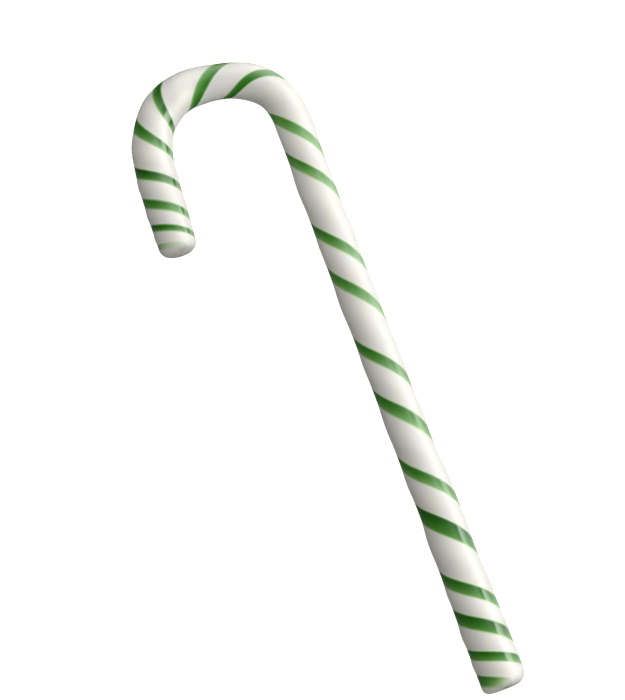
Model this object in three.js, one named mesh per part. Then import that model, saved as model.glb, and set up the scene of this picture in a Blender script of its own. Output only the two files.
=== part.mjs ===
// A candy cane: one solid stick of pulled sugar, white with two green stripes, twisted, bent into a
// hook while soft and left on its back to cool. Millimetres, +Z up. It lies on the plane z = 0 with
// its shaft along +Y; the hook bends over to -X. The origin is below the middle of its box.
//
// A place on the stick is given by s, the distance along its middle from the foot, and by the
// phase, the part of a turn that its surface lies round from the first stripe before it wanders.

import * as THREE from 'three';

// --- Driving dimensions ---------------------------------------------------------------------------

const STICK_LENGTH = 204.5; // along the middle, end to end

// The shaft sets off along +Y. Each bend turns the stick left by so many degrees round s = `at`,
// spread smoothly over the length `over`.
const SHAFT_HEADING = 90;
const BENDS = [
  { at: 31, over: 10, by: -1.7 }, // the shaft wavers a little above the foot
  { at: 40, over: 10, by: 3.4 },
  { at: 49, over: 10, by: -1.7 },
  { at: 101, over: 20, by: -0.63 }, // and is a little bowed
  { at: 144, over: 31.5, by: 81.2 }, // crown of the hook, by the shaft
  { at: 172.7, over: 43.6, by: 65.1 }, // far shoulder, a wide round
  { at: 165.2, over: 29.1, by: 32 }, // far shoulder, its tightest stretch
];

// Radius at the stripes: a stout foot, a slimmer crown and a fuller leg.
const FOOT_RADIUS = 4.9;
const THICKNESS = [
  { at: 20, over: 40, by: -0.4 },
  { at: 48, over: 30, by: -0.26 },
  { at: 80, over: 105, by: -0.19 },
  { at: 162.1, over: 12.4, by: 0.46 },
  { at: 198.4, over: 15.8, by: -0.27 },
];

// The white swells between the stripes: by this much for a whole turn from stripe to stripe, by
// less for a narrower one as its square, and not at the two ends.
const SWELL = 0.7;
const SWELL_FADE = { foot: 6, tip: 6 };

// Twist, in turns: an even screw, wound tighter at both ends where the stick was held,
// and slackened where the crown was bent.
const TWIST_START = -0.029;
const TWIST_PITCH = 28.08;
const FOOT_TWIST = { turns: 0.819, reach: 10.15 };
const TIP_TWIST = { turns: 1.531, reach: 17.9 };
const CROWN_SLACK = { at: 140.4, over: 69.8, by: -0.103 };

// The foot was pinched off askew: the stripes near it lie further along on the left than on the right.
const FOOT_LEAN = { by: 0.75, reach: 8 };

// Stripes: where each lies round the stick, in turns, and how wide it is, in degrees round it.
const FIRST_WANDER = { by: 0.037, at: 91.5, over: 118 };
const SECOND_GAP = 0.406;
const GAP_AT_FOOT = { by: 0.442, reach: 6.8 };
const GAP_AT_TIP = [
  { at: 193.6, over: 25.4, by: 0.161 },
  { at: 201, over: 8, by: -0.16 },
];
const STRIPE_WIDTH = 40;
const WIDER_AT_FOOT = { by: 60, reach: 11 };
const WIDER_AT_TIP = { first: 10, second: 23, reach: 18 };
const FIRST_BULGES = [
  { by: 20, at: 42, over: 20 },
  { by: -6, at: 152, over: 18 },
  { by: 8, at: 187, over: 8 },
];
const SECOND_BULGES = [{ by: 7, at: 166, over: 16 }];

// Ends: a corner, rounder to the right of the stick than to the left, round a domed face.
const FOOT_END = { corner: 2.2, lopsided: 0.65, dome: 0.05 };
const TIP_END = { corner: 2.2, lopsided: 0, dome: 0.3 };

const FLAT_DEPTH = 0.25; // how far the stick sank flat where it cooled

// Faces: cells round the first stripe, the narrow white, the second stripe and the wide white,
// and the longest, the most twisted and the most bent step from ring to ring.
const CELLS = [4, 6, 4, 11];
const RING_STEP = 2.1;
const RING_TURN = 0.058;
const RING_BEND = THREE.MathUtils.degToRad(7);
const CORNER_RINGS = 5;
const FACE_RINGS = 2;
const SETTLING_PASSES = 20;

const WHITE = 0xf1efe9;
const GREEN = 0x2f7d23;
const GLOSS_ROUGHNESS = 0.16;

// --- Shape laws along the stick -------------------------------------------------------------------

const TURN = 2 * Math.PI;
const wrap = (turns) => turns - Math.floor(turns);

// Goes from 0 to 1 over the length `over` round `at`, level at both ends.
function rise(s, { at, over }) {
  const part = Math.min(1, Math.max(0, (s - at) / over + 0.5));
  return part - Math.sin(TURN * part) / TURN;
}

const changed = (start, changes, s) => changes.reduce((sum, c) => sum + c.by * rise(s, c), start);
const heading = (s) => THREE.MathUtils.degToRad(changed(SHAFT_HEADING, BENDS, s));
const radius = (s) => changed(FOOT_RADIUS, THICKNESS, s);
const fromFoot = (s, reach) => Math.exp(-s / reach);
const fromTip = (s, reach) => Math.exp((s - STICK_LENGTH) / reach);
const wander = (s, wave) => wave.by * Math.sin((TURN * (s - wave.at)) / wave.over);

function twist(s) {
  const foot = FOOT_TWIST.turns * (1 - fromFoot(s, FOOT_TWIST.reach));
  const tip = TIP_TWIST.turns * (fromTip(s, TIP_TWIST.reach) - fromTip(0, TIP_TWIST.reach));
  return TWIST_START + s / TWIST_PITCH + foot + tip + CROWN_SLACK.by * rise(s, CROWN_SLACK);
}

// Both stripes at s: the middle and the width of each, in turns.
function stripes(s) {
  const gap = changed(SECOND_GAP, GAP_AT_TIP, s) + GAP_AT_FOOT.by * fromFoot(s, GAP_AT_FOOT.reach);
  const width = (atTip, bulges) => {
    const ends =
      WIDER_AT_FOOT.by * fromFoot(s, WIDER_AT_FOOT.reach) + atTip * fromTip(s, WIDER_AT_TIP.reach);
    const bulge = (sum, { by, at, over }) => sum + by * Math.exp(-(((s - at) / over) ** 2));
    return bulges.reduce(bulge, STRIPE_WIDTH + ends) / 360;
  };
  return [
    { middle: wander(s, FIRST_WANDER), width: width(WIDER_AT_TIP.first, FIRST_BULGES) },
    { middle: gap, width: width(WIDER_AT_TIP.second, SECOND_BULGES) },
  ];
}

// How far the surface stands above the stripes, which lie level: one smooth swell over each white.
function swell(s, phase) {
  const [first, second] = stripes(s);
  const gap = second.middle - first.middle;
  const round = wrap(phase - first.middle);
  const [span, past, before, after] =
    round < gap ? [gap, round, first, second] : [1 - gap, round - gap, second, first];
  const white = span - (before.width + after.width) / 2;
  const part = THREE.MathUtils.clamp((past - before.width / 2) / white, 0, 1);
  const fade = (1 - fromFoot(s, SWELL_FADE.foot)) * (1 - fromTip(s, SWELL_FADE.tip));
  return (fade * SWELL * span ** 2 * (1 - Math.cos(TURN * part))) / 2;
}

// The middle of the stick, traced from the foot by its heading.
const TRACE_STEP = 0.1;
const TRACE = traceMiddle();

function traceMiddle() {
  const points = [new THREE.Vector2(0, 0)];
  for (let s = TRACE_STEP / 2; s < STICK_LENGTH + TRACE_STEP; s += TRACE_STEP) {
    const step = new THREE.Vector2(Math.cos(heading(s)), Math.sin(heading(s)));
    points.push(points.at(-1).clone().addScaledVector(step, TRACE_STEP));
  }
  return points;
}

function middle(s) {
  const along = Math.min(STICK_LENGTH, Math.max(0, s)) / TRACE_STEP;
  const index = Math.floor(along);
  const point = TRACE[index].clone().lerp(TRACE[index + 1], along - index);
  const beyond = s - along * TRACE_STEP;
  return point.add(new THREE.Vector2(Math.cos(heading(s)), Math.sin(heading(s))).multiplyScalar(beyond));
}

// --- Rings of the surface -------------------------------------------------------------------------

const widestCorner = (end) => end.corner + end.lopsided;

// How far a rounded corner has turned in at this depth below the face.
function turnedIn(depth, corner) {
  const left = Math.max(0, 1 - depth / corner);
  return corner * (1 - Math.sqrt(1 - left ** 2));
}

// A ring is { s, end, shrink, beyond }: its place, the end that it is nearer to, how far its face
// has closed (0 to 1) and how far it stands out past the end.
function endRings(end) {
  const rings = [];
  for (let i = 1; i <= CORNER_RINGS; i += 1) {
    const angle = (i / CORNER_RINGS) * (Math.PI / 2);
    rings.push({ depth: widestCorner(end) * (1 - Math.sin(angle)), shrink: 0, beyond: 0 });
  }
  for (let i = 1; i < FACE_RINGS; i += 1) {
    const closed = i / FACE_RINGS;
    rings.push({ depth: 0, shrink: closed, beyond: end.dome * (1 - (1 - closed) ** 2) });
  }
  return rings;
}

// Places for the rings between the ends, closer together where the stick is twisted or bent most.
function bodyPlaces() {
  const from = widestCorner(FOOT_END);
  const to = STICK_LENGTH - widestCorner(TIP_END);
  const pieces = 4000;
  const effort = [0];
  for (let i = 0; i < pieces; i += 1) {
    const a = from + ((to - from) * i) / pieces;
    const b = from + ((to - from) * (i + 1)) / pieces;
    const turned = (twist(b) - twist(a)) / RING_TURN;
    const bent = (heading(b) - heading(a)) / RING_BEND;
    effort.push(effort[i] + Math.max((b - a) / RING_STEP, turned, bent));
  }
  const count = Math.ceil(effort.at(-1));
  const places = [];
  for (let ring = 0; ring <= count; ring += 1) {
    const wanted = (effort.at(-1) * ring) / count;
    const index = Math.max(1, effort.findIndex((value) => value >= wanted));
    const part = (wanted - effort[index - 1]) / (effort[index] - effort[index - 1]);
    places.push(from + ((to - from) * (index - 1 + part)) / pieces);
  }
  return places;
}

// Where a phase lies round the stick at s, as an angle from the top. The stripes lean near the foot,
// so the twist is taken again at the place that the last pass gave.
function roundAt(s, phase) {
  const lean = FOOT_LEAN.by * fromFoot(s, FOOT_LEAN.reach);
  let round = TURN * (phase - twist(s));
  for (let pass = 0; pass < SETTLING_PASSES; pass += 1) {
    round = TURN * (phase - twist(s + lean * Math.sin(round)));
  }
  return round;
}

function surfacePoint({ s, end, shrink, beyond }, phase) {
  const round = roundAt(s, phase);
  const corner = end.corner + end.lopsided * Math.sin(round);
  const [depth, along] = end === FOOT_END ? [s, s - beyond] : [STICK_LENGTH - s, s + beyond];
  const reach = (radius(s) + swell(s, phase) - turnedIn(depth, corner)) * (1 - shrink);
  const side = reach * Math.sin(round);
  const place = middle(along);
  return new THREE.Vector3(
    place.x + side * Math.sin(heading(along)),
    place.y - side * Math.cos(heading(along)),
    Math.max(0, radius(s) - FLAT_DEPTH + reach * Math.cos(round)),
  );
}

// Phases of the lines of faces, which follow the edges of the stripes.
function columns(s) {
  const [first, second] = stripes(s);
  const edges = [
    first.middle - first.width / 2,
    first.middle + first.width / 2,
    second.middle - second.width / 2,
    second.middle + second.width / 2,
    first.middle - first.width / 2 + 1,
  ];
  return CELLS.flatMap((cells, sector) => {
    const span = edges[sector + 1] - edges[sector];
    return Array.from({ length: cells }, (_, i) => edges[sector] + (span * i) / cells);
  });
}

// --- The stick ------------------------------------------------------------------------------------

function stickRings() {
  const half = STICK_LENGTH / 2;
  const foot = endRings(FOOT_END).map((ring) => ({ ...ring, s: ring.depth, end: FOOT_END }));
  const tip = endRings(TIP_END).map((ring) => ({ ...ring, s: STICK_LENGTH - ring.depth, end: TIP_END }));
  const body = bodyPlaces().map((s) => ({
    s,
    end: s < half ? FOOT_END : TIP_END,
    shrink: 0,
    beyond: 0,
  }));
  return [...foot.reverse(), ...body, ...tip];
}

function polePoint(s, end) {
  return surfacePoint({ s, end, shrink: 1, beyond: end.dome }, 0);
}

function stickGeometry() {
  const rings = stickRings().map((ring) => columns(ring.s).map((phase) => surfacePoint(ring, phase)));
  const round = rings[0].length;
  const points = [...rings.flat(), polePoint(0, FOOT_END), polePoint(STICK_LENGTH, TIP_END)];
  const footPole = points.length - 2;
  const tipPole = points.length - 1;
  const faces = [];
  const faceColumns = [];
  const addFace = (column, ...corners) => {
    faces.push(...corners);
    faceColumns.push(column);
  };
  for (let column = 0; column < round; column += 1) {
    const next = (column + 1) % round;
    addFace(column, footPole, next, column);
    for (let ring = 0; ring + 1 < rings.length; ring += 1) {
      const a = ring * round + column;
      const b = ring * round + next;
      const c = a + round;
      const d = b + round;
      // Each cell is split along its shorter diagonal.
      if (points[a].distanceTo(points[d]) < points[b].distanceTo(points[c])) {
        addFace(column, a, d, c);
        addFace(column, a, b, d);
      } else {
        addFace(column, a, b, c);
        addFace(column, b, d, c);
      }
    }
    const last = (rings.length - 1) * round;
    addFace(column, last + column, last + next, tipPole);
  }
  return coloured(centred(points), faces, faceColumns);
}

// Puts the middle of the box over the origin.
function centred(points) {
  const centre = new THREE.Box3().setFromPoints(points).getCenter(new THREE.Vector3());
  centre.z = 0;
  return points.map((point) => point.sub(centre));
}

// Smooth normals first, then one colour to a face: green on the stripes' columns.
function coloured(points, faces, faceColumns) {
  const shared = new THREE.BufferGeometry().setFromPoints(points);
  shared.setIndex(faces);
  shared.computeVertexNormals();
  const geometry = shared.toNonIndexed();
  const [firstStripe, narrow, secondStripe] = CELLS;
  const isGreen = (column) =>
    column < firstStripe ||
    (column >= firstStripe + narrow && column < firstStripe + narrow + secondStripe);
  const colours = faceColumns.flatMap((column) => {
    const colour = new THREE.Color(isGreen(column) ? GREEN : WHITE).toArray();
    return [...colour, ...colour, ...colour];
  });
  geometry.setAttribute('color', new THREE.Float32BufferAttribute(colours, 3));
  return geometry;
}

function candyCane() {
  const sugar = new THREE.MeshStandardMaterial({
    color: 0xffffff,
    vertexColors: true,
    roughness: GLOSS_ROUGHNESS,
    metalness: 0,
  });
  const stick = new THREE.Mesh(stickGeometry(), sugar);
  stick.name = 'cane';
  const group = new THREE.Group();
  group.add(stick);
  return group;
}

export default candyCane();
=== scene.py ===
"""A candy cane of pulled sugar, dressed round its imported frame, on a pale studio table.

The stick is one surface worked out as whole arrays: a round section carried along a bent middle
line, with soft swells of white between two stripes that screw round it. Lengths in the shape laws
are millimetres along the stick from its foot, turned into metres once, at the end.
"""

import bpy
import numpy as np
from mathutils import Matrix, Vector


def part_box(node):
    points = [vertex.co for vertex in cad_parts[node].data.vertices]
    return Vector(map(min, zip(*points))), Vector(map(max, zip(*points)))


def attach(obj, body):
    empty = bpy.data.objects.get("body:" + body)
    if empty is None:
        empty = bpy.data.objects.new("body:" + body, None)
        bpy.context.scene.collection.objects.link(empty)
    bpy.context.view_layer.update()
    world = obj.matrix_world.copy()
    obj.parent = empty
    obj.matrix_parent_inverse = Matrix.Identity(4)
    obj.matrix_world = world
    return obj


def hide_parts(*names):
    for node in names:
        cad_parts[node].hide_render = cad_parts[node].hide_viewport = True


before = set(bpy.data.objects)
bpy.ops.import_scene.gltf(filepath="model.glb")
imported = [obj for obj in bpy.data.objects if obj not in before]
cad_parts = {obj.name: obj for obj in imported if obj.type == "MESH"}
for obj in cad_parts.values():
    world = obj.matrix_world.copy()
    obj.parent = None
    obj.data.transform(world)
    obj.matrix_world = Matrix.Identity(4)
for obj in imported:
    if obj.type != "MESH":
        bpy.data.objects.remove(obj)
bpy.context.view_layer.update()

bl_info = {
    "name": "Candy cane",
    "version": (1, 0, 0),
    "blender": (4, 5, 0),
    "location": "View3D > Sidebar > Candy",
    "description": "Makes a striped sugar cane and the table it lies on",
    "category": "Add Mesh",
}

TURN = 2 * np.pi
MM = 0.001  # in metres

# --- Shape laws of the stick ----------------------------------------------------------------------

# Each bend turns the stick left by so many degrees: where its middle lies, its length, its turn.
SHAFT_HEADING = 90.0
BENDS = (
    (31.0, 10.0, -1.7),  # the shaft wavers a little above the foot
    (40.0, 10.0, 3.4),
    (49.0, 10.0, -1.7),
    (101.0, 20.0, -0.63),  # and is a little bowed
    (144.0, 31.5, 81.2),  # crown of the hook, by the shaft
    (172.7, 43.6, 65.1),  # far shoulder, a wide round
    (165.2, 29.1, 32.0),  # far shoulder, its tightest stretch
)

# Changes of the radius: a stout foot, a slimmer crown and a fuller leg.
THICKNESS = (
    (20.0, 40.0, -0.4),
    (48.0, 30.0, -0.26),
    (80.0, 105.0, -0.19),
    (162.1, 12.4, 0.46),
    (198.4, 15.8, -0.27),
)

# Twist in turns: an even screw, wound tighter at both ends and slackened at the crown.
TWIST_START = -0.029
TWIST_PITCH = 28.08
FOOT_TWIST, FOOT_TWIST_REACH = 0.819, 10.15
TIP_TWIST, TIP_TWIST_REACH = 1.531, 17.9
CROWN_SLACK = (140.4, 69.8, -0.103)

# The foot was pinched off askew: the stripes near it lie further along on the left.
FOOT_LEAN, FOOT_LEAN_REACH = 0.75, 8.0

# The first stripe wanders as a wave: its size in turns, a place where it is nought, its length.
FIRST_WANDER = (0.037, 91.5, 118.0)
SECOND_GAP = 0.406
GAP_AT_FOOT, GAP_AT_FOOT_REACH = 0.442, 6.8
GAP_AT_TIP = ((193.6, 25.4, 0.161), (201.0, 8.0, -0.16))

# Widths in degrees round the stick. For each stripe: how much wider it is at the tip, and its
# bulges, by how much, where and over what length.
WIDER_AT_FOOT, FOOT_WIDTH_REACH = 60.0, 11.0
TIP_WIDTH_REACH = 18.0
STRIPE_WIDTHS = (
    (10.0, ((20.0, 42.0, 20.0), (-6.0, 152.0, 18.0), (8.0, 187.0, 8.0))),
    (23.0, ((7.0, 166.0, 16.0),)),
)

SWELL_FADE_FOOT, SWELL_FADE_TIP = 6.0, 6.0

# Ends: corner radius, how much rounder it is on the right, rise of the domed face.
FOOT_END = {"corner": 2.2, "lopsided": 0.65, "dome": 0.05}
TIP_END = {"corner": 2.2, "lopsided": 0.0, "dome": 0.3}

# How thick the dye lies in each stripe at the foot, and its changes along the stick. Painted shade:
# each stripe's dye is also made thicker, and so darker, on its side towards the crown. This stands
# in for the shade that the white swell beside it casts from the light beyond the crown. The side
# flips as the crown's middle is passed between two places.
DYE_CHANGES = (
    (
        0.3,
        (
            (1.2, 2.0, 0.58),
            (6.0, 8.0, 0.25),
            (48.0, 20.0, -0.28),
            (76.0, 30.0, -0.14),
            (136.0, 20.0, 0.42),
            (195.0, 15.0, -0.1),
        ),
    ),
    (1.03, ((33.0, 20.0, -0.15), (87.0, 25.0, -0.09), (115.0, 25.0, -0.09), (150.0, 30.0, 0.2))),
)
# Painted shade: how much thicker, and so darker, the dye is made on each stripe's side towards the
# crown.
PAINTED_SHADE_SLANT = 0.45
CROWN_PASSED = (125.0, 165.0)

# For each stripe, counted in its turns round the stick: where its dye sets in by the foot, and
# where it thins out by the tip, each time by what share.
DYE_SETS_IN = ((-0.07, 0.2), (-0.8, -0.5))
DYE_THINS_OUT = (((9.22, 9.55, 0.95),), ((8.5, 8.95, 0.85), (8.8, 9.15, 0.95)))

# A stripe with less than this share of its dye gives way to the other, by so many millimetres at
# most.
FAINTEST_DYE, GIVES_WAY = 0.02, 5.0

# On an end face the dye fades out over this part of the way from the corner to the middle.
DYE_ON_FACE = 0.6

# The grain of the sugar is drawn out along the stick: this length counts as one radius.
GRAIN_LENGTH = 30.0

# Rings of faces lie closer where the stick twists, by turns to a millimetre, and where it bends, by
# radians to a millimetre.
CLOSER_IF_TWISTED, CLOSER_IF_BENT = 9, 6
CORNER_RINGS, FACE_RINGS = 12, 8


def rise(s, at, over):
    """From 0 to 1 over the length `over` round `at`: a straight rise less one sine, which makes it
    level at both ends."""
    part = np.clip((s - at) / over + 0.5, 0, 1)
    return part - np.sin(TURN * part) / TURN


def changed(start, changes, s):
    """A value that starts at `start` and is raised by each change in turn."""
    return start + sum(by * rise(s, at, over) for at, over, by in changes)


def heading(s):
    """The way the stick runs, in radians from +X towards +Y."""
    return np.radians(changed(SHAFT_HEADING, BENDS, s))


def eased(value, low, high):
    """From 0 at `low` to 1 at `high` by three squares less two cubes."""
    part = np.clip((value - low) / (high - low), 0, 1)
    return part * part * (3 - 2 * part)


def twist(s, length):
    """Turns of the section: an even screw, plus one exponential that dies away from each end."""
    foot = FOOT_TWIST * (1 - np.exp(-s / FOOT_TWIST_REACH))
    from_tip = np.exp((s - length) / TIP_TWIST_REACH) - np.exp(-length / TIP_TWIST_REACH)
    slack = CROWN_SLACK[2] * rise(s, *CROWN_SLACK[:2])
    return TWIST_START + s / TWIST_PITCH + foot + TIP_TWIST * from_tip + slack


def stripe_phase(s, round_, length):
    """Turns of a point of the section from the first stripe: the twist, taken at a place that leans
    by a sine across the stick and dies away from the foot, and the point's own angle."""
    lean = FOOT_LEAN * np.exp(-s / FOOT_LEAN_REACH) * np.sin(round_)
    return twist(s + lean, length) + round_ / TURN


def half_width(s, length, width, at_tip, bulges):
    """Half a stripe in turns: the even width, exponentials at both ends and bell-shaped bulges."""
    ends = WIDER_AT_FOOT * np.exp(-s / FOOT_WIDTH_REACH)
    ends = ends + at_tip * np.exp((s - length) / TIP_WIDTH_REACH)
    bulge = sum(by * np.exp(-(((s - at) / over) ** 2)) for by, at, over in bulges)
    return (width + ends + bulge) / 720


def stripe_middles(s):
    """Where the middle of each stripe lies, in turns round the twisted section: a sine wave for the
    first; for the second a gap that changes at the tip and, by an exponential, at the foot."""
    by, at, over = FIRST_WANDER
    gap = changed(SECOND_GAP, GAP_AT_TIP, s) + GAP_AT_FOOT * np.exp(-s / GAP_AT_FOOT_REACH)
    return by * np.sin(TURN * (s - at) / over), gap


def swell(s, phase, length, height, width):
    """Height of the white over the stripes, which lie level: one raised cosine over each white, as
    high as the square of the turn from stripe to stripe, fading at both ends."""
    first, second = stripe_middles(s)
    gap = second - first
    round_ = np.mod(phase - first, 1)
    narrow = round_ < gap
    span = np.where(narrow, gap, 1 - gap)
    past = np.where(narrow, round_, round_ - gap)
    first_half, second_half = (half_width(s, length, width, *own) for own in STRIPE_WIDTHS)
    white = span - first_half - second_half
    part = np.clip((past - np.where(narrow, first_half, second_half)) / white, 0, 1)
    fade = (1 - np.exp(-s / SWELL_FADE_FOOT)) * (1 - np.exp((s - length) / SWELL_FADE_TIP))
    return fade * height * span**2 * (1 - np.cos(TURN * part)) / 2


def middle_line(along, length):
    """Points of the middle line: the running sum of short steps along its heading."""
    step = 0.02
    places = np.arange(-2, length + 2, step)
    way = heading(places + step / 2)
    x = np.concatenate([[0], np.cumsum(np.cos(way) * step)])
    y = np.concatenate([[0], np.cumsum(np.sin(way) * step)])
    places = np.append(places, places[-1] + step)
    return np.interp(along, places, x), np.interp(along, places, y)


def widest_corner(end):
    """Radius of the corner where it is roundest."""
    return end["corner"] + end["lopsided"]


def turned_in(depth, corner):
    """How far a quarter round of radius `corner` has turned in at this depth below the face."""
    left = np.clip(1 - depth / corner, 0, None)
    return corner * (1 - np.sqrt(1 - left**2))


def ring_places(length, count):
    """Places of the rings between the corners: evenly spread over the running sum of a density
    that is higher where the stick is twisted or bent more."""
    s = np.linspace(widest_corner(FOOT_END), length - widest_corner(TIP_END), 8001)
    twisted = np.gradient(twist(s, length), s)
    bent = np.gradient(heading(s), s)
    density = 1 + CLOSER_IF_TWISTED * twisted + CLOSER_IF_BENT * bent
    effort = np.concatenate([[0], np.cumsum((density[1:] + density[:-1]) / 2)])
    return np.interp(np.linspace(0, effort[-1], count), effort, s)


def end_rings(end):
    """The rings of one end, from its corner to its pole: depth, how far the face has closed and how
    far it stands out."""
    angle = np.linspace(0, np.pi / 2, CORNER_RINGS + 1)[1:]
    closed = np.linspace(0, 1, FACE_RINGS + 1)[1:-1]
    depth = np.concatenate([widest_corner(end) * (1 - np.sin(angle)), 0 * closed])
    shrink = np.concatenate([0 * angle, closed])
    beyond = np.concatenate([0 * angle, end["dome"] * (1 - (1 - closed) ** 2)])
    return depth, shrink, beyond


def stick_rings(length, count):
    """All rings from the foot's face to the tip's: place, shrink, beyond, and whether the ring
    belongs to the foot's half."""
    foot, tip = end_rings(FOOT_END), end_rings(TIP_END)
    body = ring_places(length, count)
    s = np.concatenate([foot[0][::-1], body, length - tip[0]])
    shrink, beyond = (np.concatenate([foot[i][::-1], 0 * body, tip[i]]) for i in (1, 2))
    return s, shrink, beyond, s < length / 2


def stick_surface(rings, columns, length, foot_radius, swell_height, flat_depth, width):
    """The stick as a grid of rings and columns. Each point lies out from the middle line by the
    radius and the swell, less the corner that has turned in; its height stops at the table."""
    s, shrink, beyond, at_foot = (value[:, None] for value in rings)
    round_ = (TURN * np.arange(columns) / columns)[None, :]
    phase = stripe_phase(s, round_, length)
    side = np.sin(round_)
    radius = changed(foot_radius, THICKNESS, s)
    corner = np.where(
        at_foot,
        FOOT_END["corner"] + FOOT_END["lopsided"] * side,
        TIP_END["corner"] + TIP_END["lopsided"] * side,
    )
    depth = np.where(at_foot, s, length - s)
    along = np.where(at_foot, s - beyond, s + beyond)
    reach = radius + swell(s, phase, length, swell_height, width) - turned_in(depth, corner)
    reach = reach * (1 - shrink)
    x, y = middle_line(along, length)
    way = heading(along)
    x = x + reach * side * np.sin(way)
    y = y - reach * side * np.cos(way)
    z = np.maximum(0, radius - flat_depth + reach * np.cos(round_))
    return np.stack([x, y, z], axis=-1), phase, reach


def poles(length, foot_radius, flat_depth):
    """The middle points of the two end faces."""
    along = np.array([-FOOT_END["dome"], length + TIP_END["dome"]])
    x, y = middle_line(along, length)
    ends = np.array([0, length])
    z = changed(foot_radius, THICKNESS, ends) - flat_depth
    return np.stack([x, y, z], axis=-1)


def stripes(s, phase, round_, reach, length, width):
    """For each point and its nearest stripe: how far the point lies inside the stripe, in
    millimetres across it, and less than nought outside; and the thickness of the dye there. A turn
    round the stick is shorter across a slanting stripe. The thickness changes along the stick and
    eases in and out at the stripe's ends. As painted shade it is also raised on the stripe's side
    towards the crown, standing in for the shade that the white swell beside it casts from the light
    beyond the crown. A stripe gives way where it has no dye."""
    slope = np.gradient(twist(s[:, 0], length), s[:, 0] + 1e-6 * np.arange(len(s)))[:, None]
    girth = TURN * reach
    across = girth / np.sqrt(1 + (girth * slope) ** 2)
    # Painted shade: the dye is made thicker on the stripe's side towards the crown, and the side
    # flips past the crown.
    painted_shade_slant = PAINTED_SHADE_SLANT * (1 - 2 * eased(s, *CROWN_PASSED))
    inside, dye = [], []
    for middle, own, changes, sets_in, thins_out in zip(
        stripe_middles(s), STRIPE_WIDTHS, DYE_CHANGES, DYE_SETS_IN, DYE_THINS_OUT
    ):
        past = phase - middle
        turn = np.round(past)
        off = past - turn
        half = half_width(s, length, width, *own)
        made = turn - round_ / TURN
        there = eased(made, *sets_in)
        for start, end, share in thins_out:
            there = there * (1 - share * eased(made, start, end))
        gone = 1 - eased(there, 0.0, FAINTEST_DYE)
        inside.append((half - np.abs(off)) * across - GIVES_WAY * gone)
        dye.append(changed(*changes, s) * there * (1 + painted_shade_slant * np.clip(off / half, -1, 1)))
    return np.maximum(*inside), np.where(inside[0] > inside[1], *dye)


# --- Meshes and materials -------------------------------------------------------------------------


def grid_faces(rings, columns):
    """Corners of the cells of a tube and of the fans that close it at two poles, facing out."""
    index = np.arange(rings * columns).reshape(rings, columns)
    after = np.roll(index, -1, axis=1)
    cells = np.stack([index[:-1], after[:-1], after[1:], index[1:]], axis=-1).reshape(-1, 4)
    foot_pole, tip_pole = rings * columns, rings * columns + 1
    foot = np.stack([np.full(columns, foot_pole), after[0], index[0]], axis=-1)
    tip = np.stack([index[-1], after[-1], np.full(columns, tip_pole)], axis=-1)
    return cells, np.concatenate([foot, tip])


def mesh_object(name, points, quads, triangles):
    """A mesh from arrays of points, four-cornered faces and three-cornered faces."""
    mesh = bpy.data.meshes.new(name)
    mesh.vertices.add(len(points))
    mesh.vertices.foreach_set("co", points.astype(np.float32).ravel())
    corners = np.concatenate([quads.ravel(), triangles.ravel()]).astype(np.int32)
    sizes = np.concatenate([np.full(len(quads), 4), np.full(len(triangles), 3)])
    mesh.loops.add(len(corners))
    mesh.loops.foreach_set("vertex_index", corners)
    mesh.polygons.add(len(sizes))
    starts = np.concatenate([[0], np.cumsum(sizes)[:-1]]).astype(np.int32)
    mesh.polygons.foreach_set("loop_start", starts)
    mesh.update(calc_edges=True)
    mesh.validate()
    mesh.shade_smooth()
    thing = bpy.data.objects.new(name, mesh)
    bpy.context.scene.collection.objects.link(thing)
    return thing


def add_values(mesh, name, values):
    """Stores one number, or one vector, at each point."""
    kind, field = ("FLOAT_VECTOR", "vector") if values.ndim == 2 else ("FLOAT", "value")
    stored = mesh.attributes.new(name, kind, "POINT")
    stored.data.foreach_set(field, values.astype(np.float32).ravel())


def into_box(points, low, high):
    """Stretches the points, by hair's breadths, to fill the box from `low` to `high`."""
    own_low, own_high = points.min(axis=0), points.max(axis=0)
    return low + (points - own_low) * (high - low) / (own_high - own_low)


def new_material(name):
    """An empty material with its output node, and a helper that adds and wires a node."""
    material = bpy.data.materials.new(name)
    material.use_nodes = True
    tree = material.node_tree
    tree.nodes.clear()

    def add(kind, inputs=None, **settings):
        node = tree.nodes.new(kind)
        for key, value in settings.items():
            setattr(node, key, value)
        for key, value in (inputs or {}).items():
            if isinstance(value, bpy.types.NodeSocket):
                tree.links.new(value, node.inputs[key])
            else:
                node.inputs[key].default_value = value
        return node

    return material, add


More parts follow.
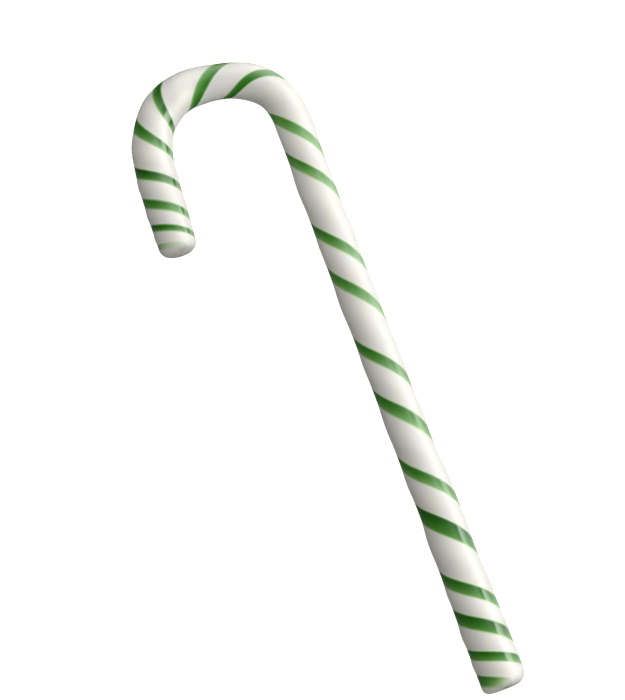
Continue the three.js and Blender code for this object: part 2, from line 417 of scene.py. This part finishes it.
def striped_sugar(colours):
    """White pulled sugar, satin, with clear dyed sugar in its skin, glassy. The dye's colour is
    raised to the power of its thickness, as a clear dye darkens with depth, and multiplies the
    white."""
    material, add = new_material("striped_sugar")
    inside = add("ShaderNodeAttribute", attribute_name="stripe_depth").outputs["Fac"]
    # The dye attribute also carries painted shade: it is thicker, and so darker, on each stripe's
    # side towards the crown.
    dye = add("ShaderNodeAttribute", attribute_name="dye").outputs["Fac"]
    grain = add("ShaderNodeAttribute", attribute_name="grain").outputs["Vector"]

    streaks = add(
        "ShaderNodeTexNoise",
        {"Vector": grain, "Scale": 3.2, "Detail": 3.0, "Roughness": 0.6},
        noise_dimensions="3D",
    ).outputs["Fac"]
    clouds = add(
        "ShaderNodeTexNoise", {"Vector": grain, "Scale": 0.9, "Detail": 2.0}
    ).outputs["Fac"]

    # The edge of a stripe is a soft step, moved a little in and out by the grain.
    ragged = add(
        "ShaderNodeMapRange",
        {"Value": streaks, "From Min": 0.3, "From Max": 0.7, "To Min": -0.06, "To Max": 0.06},
    ).outputs["Result"]
    moved = add("ShaderNodeMath", {0: inside, 1: ragged}, operation="ADD").outputs[0]
    edge = add(
        "ShaderNodeMapRange",
        {
            "Value": moved,
            "From Min": -colours.edge_softness / 2 / MM,
            "From Max": colours.edge_softness / 2 / MM,
        },
        interpolation_type="SMOOTHERSTEP",
    ).outputs["Result"]
    uneven = add(
        "ShaderNodeMapRange",
        {"Value": clouds, "From Min": 0.3, "From Max": 0.7, "To Min": 0.9, "To Max": 1.1},
    ).outputs["Result"]
    thick = add("ShaderNodeMath", {0: edge, 1: dye}, operation="MULTIPLY").outputs[0]
    thick = add("ShaderNodeMath", {0: thick, 1: uneven}, operation="MULTIPLY").outputs[0]

    through = add("ShaderNodeGamma", {"Color": (*colours.dye, 1), "Gamma": thick}).outputs[0]
    white = add(
        "ShaderNodeMix",
        {"Factor": streaks, 6: (*colours.sugar_shade, 1), 7: (*colours.sugar, 1)},
        data_type="RGBA",
    ).outputs[2]
    colour = add(
        "ShaderNodeMix",
        {"Factor": 1.0, 6: white, 7: through},
        data_type="RGBA",
        blend_type="MULTIPLY",
    ).outputs[2]
    rough = add(
        "ShaderNodeMapRange",
        {"Value": edge, "To Min": colours.roughness, "To Max": colours.dye_roughness},
    ).outputs["Result"]
    glow = add(
        "ShaderNodeMapRange",
        {"Value": edge, "To Min": colours.glow, "To Max": colours.dye_glow},
    ).outputs["Result"]
    bump = add(
        "ShaderNodeBump",
        {"Height": streaks, "Strength": 0.12, "Distance": 0.00004},
    ).outputs["Normal"]
    skin = add(
        "ShaderNodeBsdfPrincipled",
        {
            "Base Color": colour,
            "Roughness": rough,
            "IOR": 1.5,
            "Subsurface Weight": glow,
            "Subsurface Radius": (1.0, 0.9, 0.7),
            "Subsurface Scale": colours.glow_depth,
            "Normal": bump,
        },
    )
    add("ShaderNodeOutputMaterial", {"Surface": skin.outputs[0]})
    return material


# --- What a user would change ---------------------------------------------------------------------


def length_property(name, description, default):
    """A length in metres, shown in the scene's unit."""
    return bpy.props.FloatProperty(
        name=name, description=description, default=default, min=0.0, unit="LENGTH", precision=5
    )


def colour_property(name, description, default):
    """A colour without transparency."""
    return bpy.props.FloatVectorProperty(
        name=name, description=description, default=default, size=3, min=0, max=1, subtype="COLOR"
    )


class CandyStickSizes(bpy.types.PropertyGroup):
    """Sizes of the stick"""

    length: length_property("Length", "Length of the stick along its middle", 0.2045)
    foot_radius: length_property("Foot radius", "Radius at the foot", 0.0049)
    swell: length_property("Swell", "Rise of the white over a whole turn between stripes", 0.0007)
    flat_depth: length_property("Flat", "How far the underside is sunk flat", 0.00025)
    stripe_width: bpy.props.FloatProperty(
        name="Stripe width", description="Degrees of the stick that a stripe covers", default=40.0
    )
    rings: bpy.props.IntProperty(
        name="Rings", description="Rings of faces between the ends", default=500, min=50
    )
    columns: bpy.props.IntProperty(
        name="Columns", description="Faces round the stick", default=176, min=12
    )


class CandySugarColours(bpy.types.PropertyGroup):
    """Colours and finish of the sugar"""

    sugar: colour_property("Sugar", "White of the pulled sugar", (0.87, 0.86, 0.82))
    sugar_shade: colour_property("Sugar shade", "White in its faint streaks", (0.83, 0.82, 0.775))
    dye: colour_property("Dye", "What the dye lets through at its fullest", (0.052, 0.27, 0.02))
    edge_softness: length_property("Edge softness", "Width of a stripe's soft edge", 0.0008)
    roughness: bpy.props.FloatProperty(
        name="Roughness", description="Roughness of the white", default=0.42, min=0, max=1
    )
    dye_roughness: bpy.props.FloatProperty(
        name="Dye roughness", description="Roughness of the stripes", default=0.09, min=0, max=1
    )
    glow: bpy.props.FloatProperty(
        name="Glow", description="Share of light that soaks into the white", default=1.0
    )
    glow_depth: length_property("Glow depth", "How far light wanders in the sugar", 0.0015)
    dye_glow: bpy.props.FloatProperty(
        name="Dye glow", description="Share of light that soaks into the stripes", default=0.25
    )


class CandyStageSettings(bpy.types.PropertyGroup):
    """Light of the studio"""

    panel_light: bpy.props.FloatProperty(
        name="Panel light", description="Brightness of the panels in the gloss", default=1.0, min=0
    )
    key_light: bpy.props.FloatProperty(
        name="Key light", description="Power of the soft light at the right", default=2.35, min=0
    )
    high_light: bpy.props.FloatProperty(
        name="High light", description="Power of the light high at the right", default=2.3, min=0
    )
    back_light: bpy.props.FloatProperty(
        name="Back light", description="Power of the light beyond the crown", default=1.3, min=0
    )
    front_light: bpy.props.FloatProperty(
        name="Front light", description="Power of the low light by the foot", default=0.7, min=0
    )
    side_light: bpy.props.FloatProperty(
        name="Side light", description="Power of the light right of the foot", default=0.5, min=0
    )
    left_light: bpy.props.FloatProperty(
        name="Left light", description="Power of the low light at the left", default=0.5, min=0
    )
    room_light: bpy.props.FloatProperty(
        name="Room light", description="Brightness of the room", default=0.14, min=0
    )
    table_light: bpy.props.FloatProperty(
        name="Table light", description="Light that shines through the table", default=1.1, min=0
    )


# --- Operators ------------------------------------------------------------------------------------


class CANDY_OT_stick(bpy.types.Operator):
    """Make the twisted and striped sugar stick"""

    bl_idname = "candy.stick"
    bl_label = "Make the stick"

    def execute(self, context):
        sizes = context.scene.candy_stick
        length, foot_radius = sizes.length / MM, sizes.foot_radius / MM
        flat_depth = sizes.flat_depth / MM
        rings = stick_rings(length, sizes.rings)
        grid, phase, reach = stick_surface(
            rings,
            sizes.columns,
            length,
            foot_radius,
            sizes.swell / MM,
            flat_depth,
            sizes.stripe_width,
        )
        closing = poles(length, foot_radius, flat_depth)
        points = np.concatenate([grid.reshape(-1, 3), closing]) * MM
        low, high = (np.array(corner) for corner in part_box("cane"))
        quads, triangles = grid_faces(*phase.shape)
        stick = mesh_object("striped_stick", into_box(points, low, high), quads, triangles)

        s, shrink = rings[0][:, None], rings[1][:, None]
        round_ = (TURN * np.arange(sizes.columns) / sizes.columns)[None, :]
        inside, dye = stripes(s, phase, round_, reach, length, sizes.stripe_width)
        dye = dye * (1 - eased(shrink, 0.0, DYE_ON_FACE))
        turned = TURN * phase
        grain = np.stack([np.cos(turned), np.sin(turned), 0 * phase + s / GRAIN_LENGTH], axis=-1)
        add_values(stick.data, "stripe_depth", np.append(inside.ravel(), [-1.0, -1.0]))
        # These dye values also hold the painted shade on each stripe's side towards the crown.
        add_values(stick.data, "dye", np.append(dye.ravel(), [0.0, 0.0]))
        ends = [[0.0, 0.0, 0.0], [0.0, 0.0, length / GRAIN_LENGTH]]
        add_values(stick.data, "grain", np.concatenate([grain.reshape(-1, 3), ends]))

        stick.data.materials.append(striped_sugar(context.scene.candy_colours))
        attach(stick, "root")
        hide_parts("cane")
        return {"FINISHED"}


class CANDY_OT_stage(bpy.types.Operator):
    """Make the pale table, the soft lights and the camera"""

    bl_idname = "candy.stage"
    bl_label = "Make the stage"

    def execute(self, context):
        settings = context.scene.candy_stage
        make_table(settings.table_light)
        make_side_panel(settings.panel_light)
        make_ceiling(settings.panel_light)
        for name, place, size in LAMPS:
            make_lamp(name, getattr(settings, name), place, size)
        make_room(settings.room_light)
        make_camera()
        return {"FINISHED"}


def flat_sheet(name, corners):
    """A sheet with four corners, given in metres."""
    mesh = bpy.data.meshes.new(name)
    mesh.from_pydata(corners, [], [(0, 1, 2, 3)])
    sheet = bpy.data.objects.new(name, mesh)
    bpy.context.scene.collection.objects.link(sheet)
    return sheet


TABLE_HALF = 4.0
TABLE_HEIGHT = -0.0002  # just below the cane, so that the two don't flicker


def make_table(light):
    """A large pale table, lit a little from within, as a light table is."""
    half, z = TABLE_HALF, TABLE_HEIGHT
    table = flat_sheet(
        "pale_table", [(-half, -half, z), (half, -half, z), (half, half, z), (-half, half, z)]
    )
    table.visible_diffuse = False
    table.visible_glossy = False
    material, add = new_material("pale_table")
    white = (0.95, 0.95, 0.95, 1.0)
    surface = add(
        "ShaderNodeBsdfPrincipled",
        {
            "Base Color": white,
            "Roughness": 0.9,
            "Specular IOR Level": 0.0,
            "Emission Color": white,
            "Emission Strength": light,
        },
    )
    add("ShaderNodeOutputMaterial", {"Surface": surface.outputs[0]})
    table.data.materials.append(material)


# The two glowing sheets meet at the right of the stick, at this distance and height in metres.
PANEL_DISTANCE = 1.0
PANEL_TOP = 1.6
PANEL_ENDS, PANEL_FOOT = (-2.5, 10.0), -3.0
CEILING_HALF, CEILING_LEFT = 7.0, -3.0

# What changes along the side panel, each as two places on Y and its value before and behind them.
EDGE_RISES = (-0.4, 0.1, 0.35, 0.0)
EDGE_FALLS = (0.05, 0.16, 0.0, -0.35)
EDGE_HAZE = (0.1, 0.35, 0.02, 0.6)
BAND_FOOT = (0.1, 0.35, -0.15, -1.0)
BAND_HEIGHT = (0.1, 0.35, 0.7, 1.3)
BAND_GLOW = (0.1, 0.45, 6.2, 2.2)
GLOW_ABOVE = (0.15, 0.5, 1.2, 4.3)
NEAR_END = (-2.2, -0.8, 0.0, 1.0)
FAR_END = (2.5, 8.0, 1.0, 0.0)
EDGE_HEIGHT = 0.98
GLOW_BELOW, DARKER_BELOW = 2.6, 1.6  # at the table's height, and how many times less a metre below

# The ceiling glows so many times more a metre further to the right, and changes along Y.
CEILING_BRIGHTER = 3.5
CEILING_GLOW = (0.1, 0.5, 0.35, 1.3)

# Each lamp's name, place and width in metres.
LAMPS = (
    ("key_light", (0.6, 0.0, 0.33), 0.5),
    ("high_light", (0.32, 0.0, 0.73), 0.5),
    ("back_light", (-0.1, 0.7, 0.35), 0.4),
    ("front_light", (-0.1, -0.75, 0.08), 0.3),
    ("side_light", (0.5, -0.5, 0.3), 0.4),
    ("left_light", (-0.75, -0.1, 0.2), 0.4),
)


def glowing(name, sheet, light, add_strength):
    """Gives a sheet a glow that only the gloss of the sugar shows. `add_strength` builds the nodes
    of its brightness from its X, Y and Z."""
    sheet.visible_camera = False
    sheet.visible_diffuse = False
    material, add = new_material(name)
    place = add("ShaderNodeTexCoord").outputs["Object"]
    parts = add("ShaderNodeSeparateXYZ", {0: place}).outputs

    def smooth(value, low, high, start, end):
        inputs = {
            "Value": value,
            "From Min": low,
            "From Max": high,
            "To Min": start,
            "To Max": end,
        }
        kind = "ShaderNodeMapRange"
        return add(kind, inputs, interpolation_type="SMOOTHSTEP").outputs["Result"]

    def reckon(operation, first, second):
        return add("ShaderNodeMath", {0: first, 1: second}, operation=operation).outputs[0]

    strength = reckon("MULTIPLY", add_strength(parts, smooth, reckon), light)
    glow = add("ShaderNodeEmission", {"Color": (1.0, 0.99, 0.97, 1.0), "Strength": strength})
    add("ShaderNodeOutputMaterial", {"Surface": glow.outputs[0]})
    sheet.data.materials.append(material)


def make_side_panel(light):
    """A tall panel at the right of the shaft. Its upper edge is sharp beside the foot and melts
    into a haze beside the crown; below the edge it darkens downwards, and it fades towards its
    ends."""
    x, (near, far), foot = PANEL_DISTANCE, PANEL_ENDS, PANEL_FOOT
    sheet = flat_sheet(
        "side_panel",
        [(x, near, foot), (x, far, foot), (x, far, PANEL_TOP), (x, near, PANEL_TOP)],
    )

    def strength(parts, smooth, reckon):
        """Above the edge one glow. Below it another, which darkens downwards, and over it a band
        that grows from its foot upwards."""
        y, z = parts["Y"], parts["Z"]
        bend = reckon("ADD", smooth(y, *EDGE_FALLS), smooth(y, *EDGE_RISES))
        drop = reckon("SUBTRACT", reckon("ADD", bend, EDGE_HEIGHT), z)
        lit = smooth(reckon("DIVIDE", drop, smooth(y, *EDGE_HAZE)), -1.0, 1.0, 0.0, 1.0)
        fall = reckon("POWER", DARKER_BELOW, reckon("MINIMUM", z, 0.0))
        up = reckon("SUBTRACT", z, smooth(y, *BAND_FOOT))
        share = smooth(reckon("DIVIDE", up, smooth(y, *BAND_HEIGHT)), 0.0, 1.0, 0.0, 1.0)
        band = reckon("MULTIPLY", share, smooth(y, *BAND_GLOW))
        below = reckon("ADD", reckon("MULTIPLY", fall, GLOW_BELOW), band)
        above = smooth(y, *GLOW_ABOVE)
        whole = reckon("ADD", above, reckon("MULTIPLY", lit, reckon("SUBTRACT", below, above)))
        ends = reckon("MULTIPLY", smooth(y, *NEAR_END), smooth(y, *FAR_END))
        return reckon("MULTIPLY", whole, ends)

    glowing("side_panel", sheet, light, strength)


def make_ceiling(light):
    """A wide sheet above, dark over the foot and hazily bright over the crown, and brighter to the
    right."""
    left, right, y, z = CEILING_LEFT, PANEL_DISTANCE, CEILING_HALF, PANEL_TOP
    sheet = flat_sheet("ceiling", [(left, -y, z), (left, y, z), (right, y, z), (right, -y, z)])

    def strength(parts, smooth, reckon):
        """A power of X times an even change along Y."""
        across = reckon("POWER", CEILING_BRIGHTER, parts["X"])
        return reckon("MULTIPLY", across, smooth(parts["Y"], *CEILING_GLOW))

    glowing("ceiling", sheet, light, strength)


def make_lamp(name, power, place, size):
    """A soft round lamp that faces the cane and leaves no mark in the gloss."""
    lamp = bpy.data.lights.new(name, "AREA")
    lamp.shape = "DISK"
    lamp.size = size
    lamp.energy = power
    thing = bpy.data.objects.new(name, lamp)
    bpy.context.scene.collection.objects.link(thing)
    thing.location = place
    thing.rotation_euler = (-Vector(place)).to_track_quat("-Z", "Y").to_euler()
    thing.visible_camera = False
    thing.visible_glossy = False


def make_room(light):
    """An even dim room, which the gloss shows wherever it meets no panel."""
    world = bpy.data.worlds.new("pale_room")
    world.use_nodes = True
    tree = world.node_tree
    background = tree.nodes["Background"]
    background.inputs["Color"].default_value = (1.0, 0.985, 0.94, 1.0)
    background.inputs["Strength"].default_value = light
    bpy.context.scene.world = world


# The camera's place, what it looks at and the way up in its picture, in metres.
CAMERA_PLACE = (-0.03621, -0.10377, 0.43608)
CAMERA_TARGET = (0.00291, 0.00558, 0.00432)
CAMERA_UP = (0.3368, 0.9416, 0.0)
FRAME_HEIGHT = 0.1517


def make_camera():
    """A camera that looks down on the cane from a little below it, turned so that the shaft leans
    to the right. The height of its frame is measured at the target."""
    place, target, up = (Vector(v) for v in (CAMERA_PLACE, CAMERA_TARGET, CAMERA_UP))
    data = bpy.data.cameras.new("camera")
    data.sensor_width = 36.0
    data.lens = data.sensor_width * (target - place).length / FRAME_HEIGHT
    data.clip_start, data.clip_end = 0.05, 20.0
    camera = bpy.data.objects.new("camera", data)
    bpy.context.scene.collection.objects.link(camera)
    ahead = (target - place).normalized()
    right = ahead.cross(up).normalized()
    turn = Matrix((right, right.cross(ahead), -ahead)).transposed()
    camera.matrix_world = Matrix.Translation(place) @ turn.to_4x4()
    bpy.context.scene.camera = camera


class CANDY_PT_panel(bpy.types.Panel):
    """Everything that makes the candy cane"""

    bl_idname = "CANDY_PT_panel"
    bl_label = "Candy cane"
    bl_space_type = "VIEW_3D"
    bl_region_type = "UI"
    bl_category = "Candy"

    def draw(self, context):
        layout = self.layout
        for title, group, operator in (
            ("Stick", context.scene.candy_stick, CANDY_OT_stick),
            ("Sugar", context.scene.candy_colours, None),
            ("Stage", context.scene.candy_stage, CANDY_OT_stage),
        ):
            box = layout.box()
            box.label(text=title)
            for name in group.__annotations__:
                box.prop(group, name)
            if operator:
                box.operator(operator.bl_idname)


CLASSES = (
    CandyStickSizes,
    CandySugarColours,
    CandyStageSettings,
    CANDY_OT_stick,
    CANDY_OT_stage,
    CANDY_PT_panel,
)


def register():
    for item in CLASSES:
        bpy.utils.register_class(item)
    scene = bpy.types.Scene
    scene.candy_stick = bpy.props.PointerProperty(type=CandyStickSizes)
    scene.candy_colours = bpy.props.PointerProperty(type=CandySugarColours)
    scene.candy_stage = bpy.props.PointerProperty(type=CandyStageSettings)


def unregister():
    for name in ("candy_stage", "candy_colours", "candy_stick"):
        delattr(bpy.types.Scene, name)
    for item in reversed(CLASSES):
        bpy.utils.unregister_class(item)


def main():
    register()
    bpy.context.scene.view_settings.view_transform = "Standard"
    bpy.ops.candy.stick()
    bpy.ops.candy.stage()


if __name__ == "__main__":
    main()
